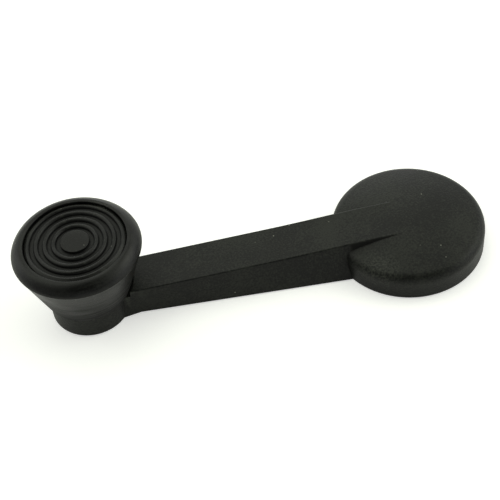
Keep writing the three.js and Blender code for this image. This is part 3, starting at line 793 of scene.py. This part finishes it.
# Studio: pale floor inside a light tent, whose walls are bright in some places and dim in others
studio = {
    "floor": "#f0f0ee",
    "floorSize": 3,  # metres
    "floorDrop": 0.0002,  # metres below the handle's back
    "skyTints": ("#fdfffe", "#fbfff1"),  # low down and high up
    "tintClimb": (0.1, 0.6),  # upward share of the direction where the tint starts and ends to change
    "seenLift": 0.46,
    "mirroredLift": 0.11,
    "softness": 14.0,  # a higher power makes each patch of the sky smaller
    "skyPatches": [  # azimuth and elevation in degrees, strength
        (0, 8, 0.24), (30, 8, 0.3), (90, 8, 0.77), (150, 8, 1.39), (210, 8, 0.28), (240, 8, 0.75), (270, 8, 1.56),
        (330, 8, 1.02), (30, 35, 0.31), (180, 35, 2.95), (210, 35, 0.41), (240, 35, 0.16), (270, 35, 0.71),
        (330, 35, 1.26), (0, 65, 1.27), (240, 65, 0.93), (300, 65, 0.76),
    ],
}


def buildFloor(look):
    bpy.ops.object.select_all(action="DESELECT")
    bpy.ops.mesh.primitive_plane_add(size=look["floorSize"], location=(0.05, 0, backPlane * mm - look["floorDrop"]))
    floor = bpy.context.object
    floor.name = "studioFloor"
    bpy.ops.object.transform_apply(location=True, rotation=True, scale=True)
    # Painted paper: matt, nearly white, and lifted to white only where the camera or a reflection sees it
    material = bpy.data.materials.new("painted paper")
    material.use_nodes = True
    tree = material.node_tree
    tree.nodes.clear()
    path = addNode(tree, "ShaderNodeLightPath")
    bounced = addNode(tree, "ShaderNodeMath", {"operation": "ADD"},
                      {0: path.outputs["Is Glossy Ray"], 1: path.outputs["Is Transmission Ray"]})
    faint = addNode(tree, "ShaderNodeMath", {"operation": "MULTIPLY", 1: look["mirroredLift"]},
                    {0: bounced.outputs[0]})
    lift = addNode(tree, "ShaderNodeMath", {"operation": "MULTIPLY_ADD", 1: look["seenLift"]},
                   {0: path.outputs["Is Camera Ray"], 2: faint.outputs[0]})
    paper = addNode(tree, "ShaderNodeBsdfPrincipled", {
        "Base Color": linearColour(look["floor"]), "Roughness": 0.9, "Emission Color": (1, 1, 1, 1)},
        {"Emission Strength": lift.outputs[0]})
    # From below the floor is clear, so that the handle's back can be looked at
    side = addNode(tree, "ShaderNodeNewGeometry")
    clear = addNode(tree, "ShaderNodeBsdfTransparent")
    sheet = addNode(tree, "ShaderNodeMixShader", {},
                    {0: side.outputs["Backfacing"], 1: paper.outputs["BSDF"], 2: clear.outputs["BSDF"]})
    addNode(tree, "ShaderNodeOutputMaterial", {}, {"Surface": sheet.outputs["Shader"]})
    floor.data.materials.append(material)


def buildSky(look):
    world = bpy.context.scene.world or bpy.data.worlds.new("studio")
    bpy.context.scene.world = world
    world.use_nodes = True
    tree = world.node_tree
    tree.nodes.clear()
    way = addNode(tree, "ShaderNodeTexCoord").outputs["Generated"]
    total = None
    for azimuth, elevation, strength in look["skyPatches"]:
        turn, rise = math.radians(azimuth), math.radians(elevation)
        aim = (math.cos(rise) * math.cos(turn), math.cos(rise) * math.sin(turn), math.sin(rise))
        facing = addNode(tree, "ShaderNodeVectorMath", {"operation": "DOT_PRODUCT", 1: aim}, {0: way})
        ahead = addNode(tree, "ShaderNodeMath", {"operation": "MAXIMUM", 1: 0.0}, {0: facing.outputs["Value"]})
        glow = addNode(tree, "ShaderNodeMath", {"operation": "POWER", 1: look["softness"]}, {0: ahead.outputs[0]})
        added = addNode(tree, "ShaderNodeMath", {"operation": "MULTIPLY_ADD", 1: strength, 2: 0.0},
                        {0: glow.outputs[0]})
        if total:
            tree.links.new(total.outputs[0], added.inputs[2])
        total = added
    low, high = (linearColour(tint) for tint in look["skyTints"])
    start, end = look["tintClimb"]
    parts = addNode(tree, "ShaderNodeSeparateXYZ", {}, {"Vector": way})
    climb = addNode(tree, "ShaderNodeMapRange", {"From Min": start, "From Max": end}, {"Value": parts.outputs["Z"]})
    tint = addNode(tree, "ShaderNodeMix", {"data_type": "RGBA", 6: low, 7: high}, {0: climb.outputs["Result"]})
    sky = addNode(tree, "ShaderNodeBackground", {}, {"Color": tint.outputs[2], "Strength": total.outputs[0]})
    # The tent looks white to the camera, whatever it gives the object
    white = addNode(tree, "ShaderNodeBackground", {"Color": (1, 1, 1, 1), "Strength": 1.0})
    path = addNode(tree, "ShaderNodeLightPath")
    seen = addNode(tree, "ShaderNodeMixShader", {},
                   {0: path.outputs["Is Camera Ray"], 1: sky.outputs["Background"], 2: white.outputs["Background"]})
    addNode(tree, "ShaderNodeOutputWorld", {}, {"Surface": seen.outputs["Shader"]})


buildFloor(studio)
buildSky(studio)

# Camera at the photograph's angle, in metres and degrees
view = {
    "lens": 88.53,
    "target": (0.055, 0.0, 0.004),
    "distance": 0.3958,
    "turn": 173.47,
    "tilt": 90 - 49.31,
    "roll": -6.71,
    "shift": (0.01362, -0.00238),
}
turning = (Matrix.Rotation(math.radians(view["turn"]), 4, "Z") @ Matrix.Rotation(math.radians(view["tilt"]), 4, "X")
           @ Matrix.Rotation(math.radians(view["roll"]), 4, "Z"))
bpy.ops.object.camera_add()
camera = bpy.context.object
camera.data.lens = view["lens"]
camera.data.sensor_width = 36
camera.data.shift_x, camera.data.shift_y = view["shift"]
camera.data.clip_start = 0.01
camera.matrix_world = (Matrix.Translation(Vector(view["target"])) @ turning
                       @ Matrix.Translation((0, 0, view["distance"])))
bpy.context.scene.camera = camera
bpy.context.scene.view_settings.view_transform = "Standard"
print("studio and camera ready")
